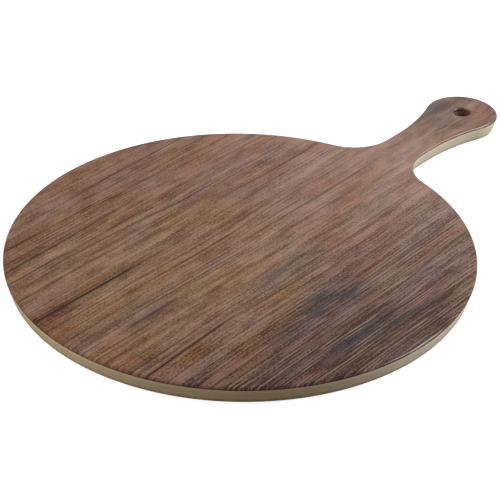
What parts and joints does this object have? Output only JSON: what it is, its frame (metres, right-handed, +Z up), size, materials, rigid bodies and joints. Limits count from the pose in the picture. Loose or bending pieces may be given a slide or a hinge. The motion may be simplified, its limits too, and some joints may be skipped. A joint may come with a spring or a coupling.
{
  "type": "round serving board",
  "caption": "Flat round serving board with a paddle handle and a hanging hole: a pale melamine moulding with a wood-print top sheet and non-slip feet under the disc.",
  "frame": {"origin": "centre of the board's footprint box, on the surface that the feet stand on", "axes": "+X along the handle, away from the disc; +Z up, out of the serving face"},
  "size_m": [0.4298, 0.3048, 0.013],
  "materials": {
    "melamine": "plain pale beige moulded melamine, semi-gloss",
    "wood_print": "dark brown wood print under a clear satin melamine glaze",
    "silicone": "matte dark silicone"
  },
  "bodies": {
    "root": {"board_moulding": "melamine", "wood_print_sheet": "wood_print", "nonslip_foot_1": "silicone", "nonslip_foot_2": "silicone", "nonslip_foot_3": "silicone", "nonslip_foot_4": "silicone", "nonslip_foot_5": "silicone", "nonslip_foot_6": "silicone"}
  },
  "joints": []
}
